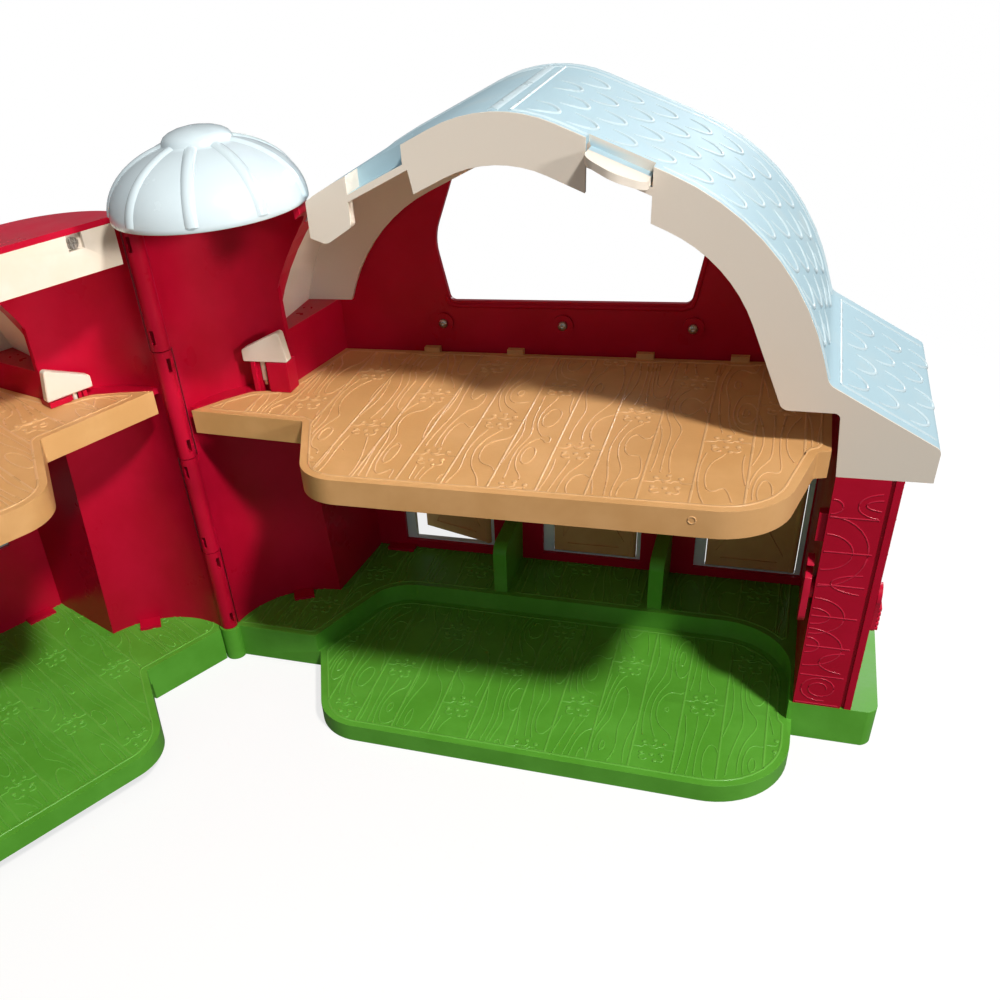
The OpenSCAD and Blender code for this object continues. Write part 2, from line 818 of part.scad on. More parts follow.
// Dome on the right half of the silo, with raised ribs and a button on top
module silo_dome() color(roof_white) translate([silo_x + silo_r_top, 0, 0]) {
    a_top = acos(button_r / dome_r);
    top = silo_top + dome_h;
    seat_z = silo_top + dome_rise * sin(a_top);
    union() {
        rotate_extrude($fn = 96) polygon(concat(
            [[dome_r - dome_shell, silo_top]], dome_arc(0, 0, a_top, 12),
            [
                [button_r - 0.6, seat_z + 1.6], [button_r - 2.4, seat_z + 3.6], [button_r - 5.5, top - 1.9],
                [button_r - 10, top - 0.6], [0, top]
            ],
            dome_arc(-dome_shell, 90, 8, 9)
        ));
        for (i = [0:dome_ribs - 1]) rotate([0, 0, i * 360 / dome_ribs + rib_start])
            rotate_extrude(angle = rib_angle, $fn = 96)
            polygon(concat(dome_arc(rib_h, 2, a_top + 2, 12), dome_arc(-1, a_top + 2, 2, 12)));
        // Half ring that sits on the silo wall
        difference() {
            rod_z(dome_r - 1, 0, 0, silo_top, silo_top + 2);
            rod_z(silo_r_top - 6, 0, 0, silo_top - 1, silo_top + 3);
            box(-far, far, -far, mate_gap, silo_top - 1, silo_top + 3);
        }
    }
}

module silo_cap_left() color(barn_red) on_left() difference() {
    rod_z(silo_r_top + wall, silo_x + silo_r_top, 0, cap_z, cap_z + cap_t);
    box(-far, far, -far, mate_gap, 0, far);
    rod_z(knuckle_r + hinge_gap, 0, 0, 0, far);
}

// Beam across the top of the left silo wall; its screw sits in a notch, on a boss
module silo_beam_left() color(cream) on_left() difference() {
    union() {
        difference() {
            box(silo_x + 4, silo_x + 2 * silo_r_top - 0.5, mate_gap, beam_back, beam_z, cap_z);
            box(beam_screw_x - 5.5, beam_screw_x + 3.5, 0, beam_back + 1, beam_screw_z - 3.5, cap_z + 1);
        }
        box(beam_screw_x - 8, beam_screw_x + 6, beam_back - eps, beam_back + 4, beam_screw_z - 6, cap_z);
    }
    rod_z(knuckle_r + hinge_gap + 1, 0, 0, 0, far);
    rod_y(pin_r + pin_fit, beam_screw_x, 0, far, beam_screw_z);
}

module silo_beam_screw() color(steel) on_left() difference() {
    union() {
        rod_y(pin_r, beam_screw_x, beam_back - 1, beam_back + 9, beam_screw_z);
        rod_y(3, beam_screw_x, beam_back - 2.4, beam_back - 0.03, beam_screw_z);
    }
    for (turn = [0, 90]) translate([beam_screw_x, beam_back - 2.4, beam_screw_z]) rotate([0, turn, 0])
        cube([3.2, 1.6, 0.7], center = true);
}

module hinge_pin() color(steel) rod_z(pin_r, 0, 0, pin_floor, knuckle_top);

// Sliding wedge in the silo, carried by a stem in the guide
module lever(left) {
    slab_y(lever_y - lever_t / 2, lever_y + lever_t / 2) outline([
        [lever_x, lever_z, 1], [lever_x + lever_len, lever_z, 1], [lever_x + lever_len - 3, lever_z + 18, 2],
        [lever_x + lever_len - 6, lever_z + 17, 2], [lever_x, lever_z + 7, 2]
    ]);
    box(
        stem_x - stem_w / 2, stem_x + stem_w / 2, lever_y - stem_w / 2, lever_y + stem_w / 2,
        lever_z - stem_len, lever_z + 1
    );
}

module lever_right() color(cream) lever(false);
module lever_left() color(cream) on_left() lever(true);

// Screw in the foot of a lever stem
module lever_screw() {
    rod_z(1.4, stem_x, lever_y, lever_z - stem_len - 2.5, lever_z - stem_len);
}

module lever_screw_right() color(steel) lever_screw();
module lever_screw_left() color(steel) on_left() lever_screw();

// White frame round an opening, with seats for the hinge stubs of its doors
module door_frame(x0, x1, in0, in1, hinge_xs) difference() {
    box(x0 - frame_rim, x1 + frame_rim, frame_y, frame_y + frame_t, floor_z, door_top + frame_rim);
    box(in0, in1, 0, far, sill_z + 1, door_top - 1);
    for (x = hinge_xs) {
        rod_z(stub_r + pin_fit, x, door_axis_y, sill_z + 1 - stub_len - 1, door_top - 1 + stub_len + 1);
    }
}

module stall_frame(i) color(roof_white) door_frame(
    stall_x(i), stall_x(i) + stall_w, stall_x(i) + jamb_near, stall_x(i) + stall_w - jamb_far,
    [stall_x(i) + stall_w - jamb_far - hinge_in]
);

module stall_frame_1() stall_frame(0);
module stall_frame_2() stall_frame(1);
module stall_frame_3() stall_frame(2);

// Door leaf of width w drawn from its hinge line towards -X, with crossed braces
module door_leaf(w) {
    z0 = sill_z + 1 + door_gap;
    z1 = door_top - 1 - door_gap;
    rail = 6;
    skin = 1.6;
    brace = atan2(z1 - z0 - 2 * rail, w - 2 * rail);
    slab_y(-skin / 2, skin / 2) translate([-w, z0]) square([w, z1 - z0]);
    slab_y(-door_t / 2, door_t / 2) {
        difference() {
            translate([-w, z0]) square([w, z1 - z0]);
            translate([-w + rail, z0 + rail]) square([w - 2 * rail, z1 - z0 - 2 * rail]);
        }
        intersection() {
            translate([-w, z0]) square([w, z1 - z0]);
            for (s = [-1, 1]) translate([-w / 2, (z0 + z1) / 2]) rotate(s * brace)
                square([3 * w, 5], center = true);
        }
    }
    rod_z(barrel_r, 0, 0, z0, z1);
    rod_z(stub_r, 0, 0, z0 - door_gap - stub_len, z1 + door_gap + stub_len);
}

module stall_door(i, ajar) {
    x = stall_x(i) + stall_w - jamb_far - hinge_in;
    w = x - (stall_x(i) + jamb_near) - door_gap;
    color(tan) translate([x, door_axis_y, 0]) rotate([0, 0, -ajar]) door_leaf(w);
}

module stall_door_1() stall_door(0, door_ajar);
module stall_door_2() stall_door(1, 0);
module stall_door_3() stall_door(2, 0);

module barn_door_frame() color(roof_white) on_left() door_frame(
    barn_x0, barn_x0 + barn_door_w, barn_in[0], barn_in[1], [barn_in[0] + hinge_in, barn_in[1] - hinge_in]
);

module barn_door(side) {
    w = (barn_in[1] - barn_in[0]) / 2 - hinge_in - door_gap / 2;
    x = side < 0 ? barn_in[0] + hinge_in : barn_in[1] - hinge_in;
    color(tan) on_left() translate([x, door_axis_y, 0]) mirror([side < 0 ? 1 : 0, 0, 0]) door_leaf(w);
}

module barn_door_near() barn_door(-1);
module barn_door_far() barn_door(1);

module window_frames() color(roof_white) on_left() for (x = pane_x) {
    bar = 4;
    slab_y(frame_y, frame_y + frame_t) translate([x, pane_z]) difference() {
        translate([-frame_rim, -frame_rim]) square([pane_w + 2 * frame_rim, pane_h + 2 * frame_rim]);
        for (i = [0, 1]) for (j = [0, 1]) translate([i * (pane_w + bar) / 2, j * (pane_h + bar) / 2])
            square([(pane_w - bar) / 2, (pane_h - bar) / 2]);
    }
}

base_right();
back_wall_right();
gable_right();
end_wall_right();
silo_wall_right();
loft_floor_right();
roof_right();
silo_dome();
stall_frame_1();
stall_frame_2();
stall_frame_3();
stall_door_1();
stall_door_2();
stall_door_3();
hinge_pin();
gable_screws_right();
lever_right();
lever_screw_right();
closing_latch();
base_left();
front_wall_left();
gable_left();
end_wall_left();
silo_wall_left();
loft_floor_left();
roof_left();
silo_cap_left();
silo_beam_left();
silo_beam_screw();
gable_screws_left();
barn_door_frame();
window_frames();
lever_left();
lever_screw_left();
barn_door_near();
barn_door_far();
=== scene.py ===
"""Finishes, relief and small fittings of a folding toy barn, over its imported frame."""
import json
import math

import bmesh
import bpy
import numpy as np
from mathutils import Matrix, Vector
from mathutils.bvhtree import BVHTree

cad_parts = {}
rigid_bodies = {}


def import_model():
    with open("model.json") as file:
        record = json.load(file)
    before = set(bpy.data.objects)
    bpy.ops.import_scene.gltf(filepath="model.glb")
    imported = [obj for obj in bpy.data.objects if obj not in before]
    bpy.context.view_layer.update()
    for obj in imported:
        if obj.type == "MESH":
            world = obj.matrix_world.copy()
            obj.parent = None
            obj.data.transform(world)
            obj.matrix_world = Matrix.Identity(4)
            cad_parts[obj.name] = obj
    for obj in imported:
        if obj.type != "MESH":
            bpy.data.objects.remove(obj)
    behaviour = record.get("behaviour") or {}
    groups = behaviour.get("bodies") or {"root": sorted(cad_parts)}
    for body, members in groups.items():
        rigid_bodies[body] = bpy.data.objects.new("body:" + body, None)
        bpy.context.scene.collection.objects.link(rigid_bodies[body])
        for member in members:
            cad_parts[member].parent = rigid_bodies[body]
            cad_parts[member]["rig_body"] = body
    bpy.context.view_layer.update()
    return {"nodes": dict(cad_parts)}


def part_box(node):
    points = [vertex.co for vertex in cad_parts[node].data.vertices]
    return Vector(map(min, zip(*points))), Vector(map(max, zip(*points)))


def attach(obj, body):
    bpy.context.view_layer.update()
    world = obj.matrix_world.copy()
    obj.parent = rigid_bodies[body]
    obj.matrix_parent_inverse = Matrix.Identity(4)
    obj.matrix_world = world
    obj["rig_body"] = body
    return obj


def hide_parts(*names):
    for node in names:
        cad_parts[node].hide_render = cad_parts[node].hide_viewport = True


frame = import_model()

MM = 0.001
nodes = frame["nodes"]

# Angle between the two halves in the pose of the frame
TURN = math.radians(118.0)
LEFT_BODIES = ("left_half", "lever_left", "barn_door_near", "barn_door_far")

# Levels and places that the relief lines up with, in mm in the frame of a half
BASE_TOP = 24.6
TRAY_TOP = 12.0
LOFT_TOP = {"right": 180.4, "left": 195.0}
LEDGE_SPAN = (-10.0, 359.0)
MATING_FACE = 0.5
OUTER_WALL = 123.0
GABLE_INSIDE = 107.0
GABLE_OUTSIDE = 110.0
END_OUTSIDE = 390.0
RIDGE_X = 196.0
RIDGE_RING_Z = 150.0
ROOF_FOOT_Z = 172.0
SKIRT_X = 352.5
SCREW_SEAT = 105.2
SCREW_ALONG = (133.0, 206.4, 280.4)
DOME_X = 50.0
DOME_Z = 292.5
DOME_RADIUS = 50.0
DOME_RISE = 32.0
DOME_WALL = 2.6
DOME_TOP_Z = 330.9

# Mouldings whose edges are rounded, with the width of the rounding in mm
SOFT_EDGES = {
    "base_right": 1.4, "base_left": 1.4, "loft_floor_right": 1.3, "loft_floor_left": 1.3,
    "roof_right": 1.2, "roof_left": 1.2, "end_wall_right": 0.7, "end_wall_left": 0.7,
    "lever_right": 0.9, "lever_left": 0.9, "closing_latch": 0.7, "silo_beam_left": 0.8,
}


# Camera

# Unit vectors of the view, to the right, down the picture and away from the camera
VIEW_RIGHT = Vector((0.93711718, 0.33475165, -0.09875588))
VIEW_DOWN = Vector((0.1284653, -0.59392829, -0.7941951))
VIEW_AWAY = Vector((-0.32451203, 0.73156717, -0.59958437))
CAMERA_PLACE = Vector((324.57, -456.56, 402.87)) * MM
FOCAL_PIXELS = 973.88
PICTURE_PIXELS = 1000.0
CENTRE_PIXEL = (396.53, 642.85)
SENSOR = 36.0


def make_camera():
    data = bpy.data.cameras.new("camera")
    data.sensor_width = SENSOR
    data.lens = FOCAL_PIXELS / PICTURE_PIXELS * SENSOR
    data.shift_x = 0.5 - CENTRE_PIXEL[0] / PICTURE_PIXELS
    data.shift_y = CENTRE_PIXEL[1] / PICTURE_PIXELS - 0.5
    data.clip_start = 0.01
    camera = bpy.data.objects.new("camera", data)
    turn = Matrix((VIEW_RIGHT, -VIEW_DOWN, -VIEW_AWAY)).transposed().to_4x4()
    camera.matrix_world = Matrix.Translation(CAMERA_PLACE) @ turn
    bpy.context.collection.objects.link(camera)
    bpy.context.scene.camera = camera


# Shader arithmetic

class Wire:
    """A number socket that takes part in Python arithmetic; each operation adds a Math node."""

    def __init__(self, finish, socket):
        self.finish = finish
        self.socket = socket

    def math(self, operation, *others):
        return self.finish.node("ShaderNodeMath", {"operation": operation}, dict(enumerate((self, *others))))

    def __add__(self, other):
        return self.math("ADD", other)

    __radd__ = __add__

    def __mul__(self, other):
        return self.math("MULTIPLY", other)

    __rmul__ = __mul__

    def __sub__(self, other):
        return self.math("SUBTRACT", other)

    def __rsub__(self, other):
        return self * -1.0 + other

    def __truediv__(self, other):
        return self.math("DIVIDE", other)

    def root(self):
        return self.math("SQRT")

    def fade(self, start, end, low=0.0, high=1.0):
        """Smooth change from low at start to high at end."""
        return self.finish.node(
            "ShaderNodeMapRange",
            {"interpolation_type": "SMOOTHSTEP"},
            {"Value": self, "From Min": start, "From Max": end, "To Min": low, "To Max": high},
        )


class Finish:
    """A material under construction, for one of the halves."""

    def __init__(self, name, side="right"):
        self.material = bpy.data.materials.new(name)
        self.material.use_nodes = True
        self.tree = self.material.node_tree
        self.tree.nodes.clear()
        self.side = side

    def node(self, kind, settings=None, values=None, output=0):
        made = self.tree.nodes.new(kind)
        for name, setting in (settings or {}).items():
            setattr(made, name, setting)
        for name, value in (values or {}).items():
            if isinstance(value, Wire):
                self.tree.links.new(value.socket, made.inputs[name])
            else:
                made.inputs[name].default_value = value
        return Wire(self, made.outputs[output]) if made.outputs else None

    def in_half(self, output):
        """A vector of the object's own space, in the frame of the half: along it, into it and up."""
        source = self.node("ShaderNodeTexCoord", output=output)
        x, y, z = [self.node("ShaderNodeSeparateXYZ", None, {0: source}, i) for i in range(3)]
        if self.side == "left":
            along = x * math.cos(TURN) - y * math.sin(TURN)
            into = (x * math.sin(TURN) + y * math.cos(TURN)) * -1.0
            return along, into, z
        return x, y, z

    def place(self):
        """Coordinates in mm."""
        return [part / MM for part in self.in_half("Object")]

    def facing(self):
        return self.in_half("Normal")

    def noise(self, place, lengths, detail, roughness):
        """Noise whose waves have the given lengths in mm along the three axes."""
        waves = [part / length for part, length in zip(place, lengths)]
        at = self.node("ShaderNodeCombineXYZ", None, dict(enumerate(waves)))
        return self.node(
            "ShaderNodeTexNoise",
            {"noise_dimensions": "3D"},
            {"Vector": at, "Scale": 1.0, "Detail": detail, "Roughness": roughness},
        )

    def mix(self, amount, first, second):
        """Colour between two, each a colour or a wire."""
        return self.node(
            "ShaderNodeMix",
            {"data_type": "RGBA"},
            {"Factor": amount, 6: rgba(first), 7: rgba(second)},
            2,
        )

    def bump(self, height, depth_mm):
        return self.node("ShaderNodeBump", None, {"Height": height, "Distance": depth_mm * MM, "Strength": 1.0})

    def plastic(self, color, roughness, normal, gloss, coat=0.0):
        """Moulded plastic. gloss is the specular level, the same all over."""
        values = {
            "Base Color": rgba(color), "Roughness": roughness, "Specular IOR Level": gloss, "Normal": normal,
        }
        if coat:
            values["Coat Weight"] = coat
            values["Coat Roughness"] = 0.08
        surface = self.node("ShaderNodeBsdfPrincipled", None, values)
        self.node("ShaderNodeOutputMaterial", None, {"Surface": surface})
        return self.material


def rgba(color):
    if isinstance(color, Wire):
        return color
    return (*color, 1.0)


# Colours of the moulded plastics
RED = (0.52, 0.004, 0.032)
RED_DEEP = (0.46, 0.003, 0.024)
BRIGHT_RED = (0.64, 0.012, 0.05)
# Bluish white of the roof's outward faces: painted sky light
ROOF_PAINTED_SKY_BLUE = (0.42, 0.59, 0.67)
# Pale blue of the raised tiles, trim and ridge band on the roof: painted highlight; also the darker random tone
# of the white frames
ROOF_HIGHLIGHT_AND_FRAME_TONE = (0.60, 0.74, 0.80)
CREAM = (0.78, 0.71, 0.62)
CREAM_DEEP = (0.74, 0.65, 0.53)
TAN = (0.71, 0.40, 0.165)
TAN_DEEP = (0.64, 0.345, 0.13)
GREEN = (0.125, 0.44, 0.045)
GREEN_DEEP = (0.098, 0.37, 0.03)
STEEL = (0.62, 0.61, 0.58)
# Lighter colours of the raised relief on the red, tan and green plastics: painted highlight on the seams,
# grain, nail heads and arches
RED_PAINTED_HIGHLIGHT = (0.60, 0.016, 0.055)
TAN_PAINTED_HIGHLIGHT = (0.76, 0.45, 0.205)
GREEN_PAINTED_HIGHLIGHT = (0.155, 0.49, 0.06)
BRIGHT_WHITE = (0.80, 0.86, 0.88)
DOME_WHITE = (0.62, 0.73, 0.78)
DOME_SHADE = (0.59, 0.70, 0.75)
STEEL_DULL = (0.42, 0.40, 0.36)


def moulded_skin(f, place):
    """Faint flow marks and dust that break up a moulded gloss, from 0 to 1."""
    return f.noise(place, [40.0] * 3, 4.0, 0.6), f.noise(place, [1.6] * 3, 2.0, 0.5)


def plain_plastic(name, side, color, deep, rough, grain=0.03, gloss=0.3, coat=0.0):
    f = Finish(name, side)
    flow, fine = moulded_skin(f, f.place())
    tint = f.mix(flow.fade(0.35, 0.7), deep, color)
    return f.plastic(tint, flow.fade(0.3, 0.75, rough - 0.06, rough + 0.08), f.bump(fine, grain), gloss, coat)


def roof_plastic(name, side):
    """Painted light on one white plastic: a bluish white on the outward faces for the sky light on them, and a
    warmer cream on the band and the inside for the warmer light and shade there.
    """
    f = Finish(name, side)
    place = f.place()
    x, y, z = place
    flow, fine = moulded_skin(f, place)
    nx, ny, nz = f.facing()
    # Mask of the outward faces, which get the painted bluish sky light; the band and the inside keep the
    # painted warmer cream
    outward = (nx * (x - RIDGE_X) + nz * (z - RIDGE_RING_Z)).fade(0.0, 20.0)
    outside = outward * y.fade(0.6, 2.2)
    tint = f.mix(outside, CREAM, ROOF_PAINTED_SKY_BLUE)
    tint = f.mix(flow.fade(0.5, 0.9, 0.0, 0.25), tint, CREAM_DEEP)
    return f.plastic(tint, flow.fade(0.3, 0.75, 0.52, 0.62), f.bump(fine, 0.03), 0.12)


def steel(name):
    f = Finish(name)
    rub = f.noise(f.place(), (0.6, 0.6, 6.0), 3.0, 0.6)
    surface = f.node("ShaderNodeBsdfPrincipled", None, {
        "Base Color": f.mix(rub.fade(0.35, 0.7), STEEL_DULL, STEEL),
        "Metallic": 1.0,
        "Roughness": rub.fade(0.3, 0.8, 0.22, 0.4),
        "Normal": f.bump(rub, 0.02),
    })
    f.node("ShaderNodeOutputMaterial", None, {"Surface": surface})
    return f.material


# Finishes of the frame's nodes, by the start of their names; the rest are red
KINDS = {
    "base": "green", "loft_floor": "tan", "roof": "roof", "silo_dome": "white", "stall_frame": "white",
    "barn_door_frame": "white", "window_frames": "white", "stall_door": "tan", "barn_door_near": "tan",
    "barn_door_far": "tan", "silo_beam_left": "cream", "lever_right": "cream", "lever_left": "cream",
}


def smooth_by_angle(obj, degrees):
    mesh = obj.data
    mesh.shade_smooth()
    mesh.set_sharp_from_angle(angle=math.radians(degrees))


def settle(piece, body):
    """Rides a new piece on its body."""
    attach(piece, body)


def softened(name, width_mm):
    """Copy of a node with its edges rounded, which stands for the node."""
    source = nodes[name]
    mesh = source.data.copy()
    mesh.name = name + "_moulding"
    bm = bmesh.new()
    bm.from_mesh(mesh)
    bmesh.ops.remove_doubles(bm, verts=bm.verts, dist=0.00001)
    bmesh.ops.dissolve_limit(
        bm, angle_limit=math.radians(0.8), verts=bm.verts, edges=bm.edges, use_dissolve_boundaries=False
    )
    bm.to_mesh(mesh)
    bm.free()
    piece = bpy.data.objects.new(name + "_moulding", mesh)
    bpy.context.collection.objects.link(piece)
    rounding = piece.modifiers.new("rounding", "BEVEL")
    rounding.width = width_mm * MM
    rounding.segments = 2
    rounding.limit_method = "ANGLE"
    rounding.angle_limit = math.radians(28.0)
    rounding.use_clamp_overlap = True
    rounding.miter_outer = "MITER_ARC"
    smooth_by_angle(piece, 40.0)
    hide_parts(name)
    settle(piece, source["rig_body"])


def make_finishes():
    finishes = {
        "dome": plain_plastic("dome_plastic", "right", DOME_WHITE, DOME_SHADE, 0.22, 0.01, 0.5, 0.5),
        "latch": plain_plastic("latch_plastic", "right", BRIGHT_RED, RED, 0.3, gloss=0.2),
        "steel": steel("plated_steel"),
    }
    for side in ("right", "left"):
        for color, lit, deep, rough, grain, gloss in (
            ("red", RED, RED_DEEP, 0.33, 0.03, 0.13),
            ("cream", CREAM, CREAM_DEEP, 0.4, 0.03, 0.3),
            ("white", BRIGHT_WHITE, ROOF_HIGHLIGHT_AND_FRAME_TONE, 0.3, 0.03, 0.3),
            ("tan", TAN, TAN_DEEP, 0.44, 0.04, 0.25),
            ("green", GREEN, GREEN_DEEP, 0.4, 0.04, 0.2),
        ):
            finishes[color + "_" + side] = plain_plastic(
                color + "_plastic_" + side, side, lit, deep, rough, grain, gloss
            )
        finishes["roof_" + side] = roof_plastic("roof_plastic_" + side, side)
        # Lighter copies of the plastics for the raised relief: painted highlight, with a faint random tone
        for color, lit, gloss in (
            ("red", RED_PAINTED_HIGHLIGHT, 0.3), ("tan", TAN_PAINTED_HIGHLIGHT, 0.3),
            ("green", GREEN_PAINTED_HIGHLIGHT, 0.3), ("roof", ROOF_HIGHLIGHT_AND_FRAME_TONE, 0.2),
        ):
            deep = [part * 0.9 for part in lit]
            finishes[color + "_edge_" + side] = plain_plastic(
                color + "_raised_edge_" + side, side, lit, deep, 0.3, 0.01, gloss
            )
    return finishes


def finish_frame(finishes):
    for name, node in nodes.items():
        kind = "red"
        for start, found in KINDS.items():
            if name.startswith(start):
                kind = found
        if "screw" in name or name == "hinge_pin":
            material = finishes["steel"]
        elif name == "closing_latch":
            material = finishes["latch"]
        else:
            material = finishes[kind + "_" + side_of(name)]
        node.data.materials.clear()
        node.data.materials.append(material)
        smooth_by_angle(node, 32.0)


# Places in the frame of a half: along it, into it and up, in mm

def side_of(name):
    return "left" if nodes[name]["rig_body"] in LEFT_BODIES else "right"


def turned(side, place):
    """Place or direction in the frame of a half, to the frame of the whole toy and back."""
    x, y, z = place
    if side == "left":
        return Vector(
            (x * math.cos(TURN) - y * math.sin(TURN), -x * math.sin(TURN) - y * math.cos(TURN), z)
        )
    return Vector((x, y, z))


# How closely a polygon has to face outward and lie at a level to count as part of a face
LEVEL_NORMAL = 0.99
LEVEL_GAP = 0.05


class Face:
    """A flat face of a moulding, with its outline, on which relief is laid."""

    def __init__(self, name, across, along, level, outward, span=(-1000.0, 1000.0)):
        self.side = side_of(name)
        self.body = nodes[name]["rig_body"]
        self.axes = (across, along, 3 - across - along)
        self.level = level
        self.outward = outward
        self.span = span
        mesh = nodes[name].data
        corners = [turned(self.side, v.co / MM) for v in mesh.vertices]
        a, b, c = self.axes
        seen = {}
        for polygon in mesh.polygons:
            loop = [corners[i] for i in polygon.vertices]
            normal = turned(self.side, polygon.normal)
            if normal[c] * outward < LEVEL_NORMAL or abs(loop[0][c] - level) > LEVEL_GAP:
                continue
            flat = [(round(p[a], 2), round(p[b], 2)) for p in loop]
            for start, end in zip(flat, flat[1:] + flat[:1]):
                if start != end:
                    edge = tuple(sorted((start, end)))
                    seen[edge] = seen.get(edge, 0) + 1
        self.edges = np.array([e for e, count in seen.items() if count % 2], dtype=float)
        self.low = self.edges.min(axis=(0, 1))
        self.high = self.edges.max(axis=(0, 1))

    def room(self, points):
        """How far inside the outline each point is; negative outside."""
        points = np.asarray(points, dtype=float).reshape(-1, 2)
        start, run = self.edges[:, 0], self.edges[:, 1] - self.edges[:, 0]
        rooms = []
        for part in np.array_split(points, max(1, len(points) // 2000)):
            away = part[:, None, :] - start[None]
            t = np.clip((away * run).sum(2) / (run * run).sum(1), 0.0, 1.0)
            near = np.linalg.norm(away - t[..., None] * run, axis=2).min(axis=1)
            above = start[None, :, 1] > part[:, None, 1]
            ends_above = (start + run)[None, :, 1] > part[:, None, 1]
            with np.errstate(divide="ignore", invalid="ignore"):
                at = away[..., 1] / run[:, 1] * run[:, 0]
            inside = ((above != ends_above) & (away[..., 0] < at)).sum(axis=1) % 2 == 1
            rooms.append(np.where(inside, near, -near))
        to_span = np.minimum(points[:, 0] - self.span[0], self.span[1] - points[:, 0])
        return np.minimum(np.concatenate(rooms), to_span)

    def at(self, u, v):
        place = [0.0, 0.0, 0.0]
        for axis, part in zip(self.axes, (u, v, self.level)):
            place[axis] = part
        return turned(self.side, place) * MM

    def lines(self, lines):
        """Lines of places on the face, each with the direction out of it."""
        out = turned(self.side, [self.outward if i == self.axes[2] else 0.0 for i in range(3)])
        return [[(self.at(u, v), out) for u, v in line] for line in lines]

    def basis(self):
        """Rotation whose third column points out of the face."""
        columns = []
        for axis, sign in zip(self.axes, (1.0, 1.0, self.outward)):
            unit = [0.0, 0.0, 0.0]
            unit[axis] = sign
            columns.append(turned(self.side, unit))
        return Matrix(columns).transposed().to_4x4()

    def clipped(self, line, margin):
        """Stretches of a line that stay inside the outline by a margin."""
        if len(line) < 2:
            return []
        kept, run = [], []
        for point, room in zip(line, self.room(line)):
            if room > margin:
                run.append(point)
            else:
                kept.append(run)
                run = []
        kept.append(run)
        return [r for r in kept if len(r) > 1]


def chance(*keys):
    """Repeatable number from 0 to 1."""
    value = math.sin(sum(k * w for k, w in zip(keys, (12.9898, 78.233, 37.719, 9.157)))) * 43758.5453
    return value - math.floor(value)


def contour(us, vs, heights, level):
    """Lines along which a grid of heights passes a level."""
    places, links = {}, {}

    def crossing(i, j, k, l):
        a, b = heights[i][j] - level, heights[k][l] - level
        if (a > 0) == (b > 0):
            return None
        t = a / (a - b)
        places[(i, j, k, l)] = (us[i] + t * (us[k] - us[i]), vs[j] + t * (vs[l] - vs[j]))
        return (i, j, k, l)

    corners = np.stack([heights[:-1, :-1], heights[1:, :-1], heights[1:, 1:], heights[:-1, 1:]]) > level
    for i, j in np.argwhere(corners.any(axis=0) & ~corners.all(axis=0)).tolist():
        ends = [
            crossing(i, j, i + 1, j), crossing(i + 1, j, i + 1, j + 1),
            crossing(i, j + 1, i + 1, j + 1), crossing(i, j, i, j + 1),
        ]
        ends = [e for e in ends if e]
        for p, q in zip(ends[0::2], ends[1::2]):
            links.setdefault(p, []).append(q)
            links.setdefault(q, []).append(p)
    lines, used = [], set()
    for first in [k for k, v in links.items() if len(v) == 1] + list(links):
        if first in used:
            continue
        line = [first]
        used.add(first)
        while True:
            following = [q for q in links[line[-1]] if q not in used]
            if not following:
                break
            line.append(following[0])
            used.add(following[0])
        if len(line) > 3 and line[0] in links[line[-1]]:
            line.append(line[0])
        lines.append([places[k] for k in line])
    return lines


def beads(name, body, material, lines, width_mm, height_mm, swell=None, rounds=1):
    """Raised rounded beads, sunk into a face, along lines of places with the direction out there."""
    half = width_mm / 2.0
    radius = (half * half + height_mm * height_mm) / (2.0 * height_mm)
    curve = bpy.data.curves.new(name, "CURVE")
    curve.dimensions = "3D"
    curve.twist_mode = "Z_UP"
    curve.bevel_depth = radius * MM
    curve.bevel_resolution = rounds
    curve.use_fill_caps = True
    for line in lines:
        spline = curve.splines.new("POLY")
        spline.points.add(len(line) - 1)
        for i, (place, out) in enumerate(line):
            size = swell(i / (len(line) - 1)) if swell else 1.0
            spline.points[i].co = (*(place + out * ((height_mm - radius) * size * MM)), 1.0)
            spline.points[i].radius = size
    curve.materials.append(material)
    piece = bpy.data.objects.new(name, curve)
    bpy.context.collection.objects.link(piece)
    settle(piece, body)


def new_piece(name, bm, body, material, degrees):
    """Mesh piece on a body, smooth up to an angle."""
    mesh = bpy.data.meshes.new(name)
    bm.to_mesh(mesh)
    bm.free()
    mesh.materials.append(material)
    piece = bpy.data.objects.new(name, mesh)
    bpy.context.collection.objects.link(piece)
    smooth_by_angle(piece, degrees)
    settle(piece, body)
    return piece


def studs(name, body, material, places, turn, width_mm, height_mm):
    """Low round heads on a face."""
    bm = bmesh.new()
    flatten = Matrix.Diagonal((1.0, 1.0, height_mm * 2.0 / width_mm, 1.0))
    for place in places:
        bmesh.ops.create_uvsphere(
            bm, u_segments=8, v_segments=6, radius=width_mm / 2.0 * MM,
            matrix=Matrix.Translation(place) @ turn @ flatten,
        )
    new_piece(name, bm, body, material, 180.0)


# Planks

# Pitch and first seam of the planks, in mm
TRAY_PLANKS = (23.4, 20.5)
LOFT_PLANKS = (23.2, 19.5)
WALL_PLANKS = (19.8, 6.1)
PLANK_REACH = 118.0

# Widths and heights of the relief on the planks, in mm
SEAM_WIDTH = 1.7
GRAIN_WIDTH = 1.0
NAIL_WIDTH = 2.9
RELIEF_HEIGHT = 0.48

# Distance from the edge of a floor to the line that runs round it, in mm
RIM = 4.6

